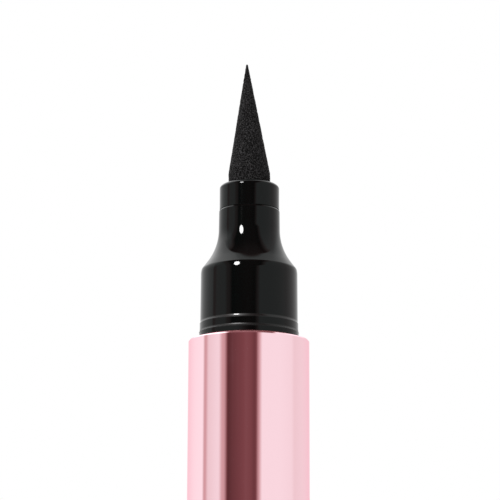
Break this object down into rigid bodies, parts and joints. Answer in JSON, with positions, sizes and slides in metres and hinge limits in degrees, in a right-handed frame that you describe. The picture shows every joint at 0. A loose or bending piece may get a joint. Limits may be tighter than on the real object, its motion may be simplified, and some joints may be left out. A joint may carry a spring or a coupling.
{
  "type": "liquid eyeliner pen",
  "caption": "Liquid eyeliner pen with a pink metal barrel, flared gloss black nozzle and black felt tip, stood upright with its cap posted on the tail.",
  "frame": {"origin": "centre of the cap's flat closed end, on which the pen stands", "axes": "+Z along the pen from the cap's closed end to the felt tip; -Y faces the picture's camera; +X to the camera's right"},
  "size_m": [0.0094, 0.0094, 0.1526],
  "materials": {
    "pink_metal": "mirror-bright pink anodised",
    "nozzle_plastic": "high gloss black",
    "liner_plastic": "satin black",
    "seal_plastic": "soft translucent white",
    "felt": "matt black pressed felt, ink-soaked",
    "collector_plastic": "clear moulded",
    "feed_fibre": "porous fibre, ink-stained",
    "seal_rubber": "satin",
    "tank_plastic": "frosted translucent",
    "ball_steel": "polished"
  },
  "bodies": {
    "cap": {"cap_shell": "pink_metal", "cap_liner": "liner_plastic", "inner_cap": "seal_plastic"},
    "pen": {"barrel_sleeve": "pink_metal", "front_section": "nozzle_plastic", "tip_holder": "nozzle_plastic", "felt_tip": "felt", "collector": "collector_plastic", "ink_feed": "feed_fibre", "front_seal_ring": "seal_rubber", "ink_tank": "tank_plastic", "tail_seal_ring": "seal_rubber", "tail_plug": "nozzle_plastic"},
    "mixing_ball": {"mixing_ball": "ball_steel"}
  },
  "joints": [
    {"name": "pen_slide", "type": "slide", "parent": "cap", "child": "pen", "axis": [0, 0, 1], "range_m": [0, 0.03]},
    {"name": "ball_slide", "type": "slide", "parent": "pen", "child": "mixing_ball", "axis": [0, 0, 1], "range_m": [0, 0.0519]}
  ]
}
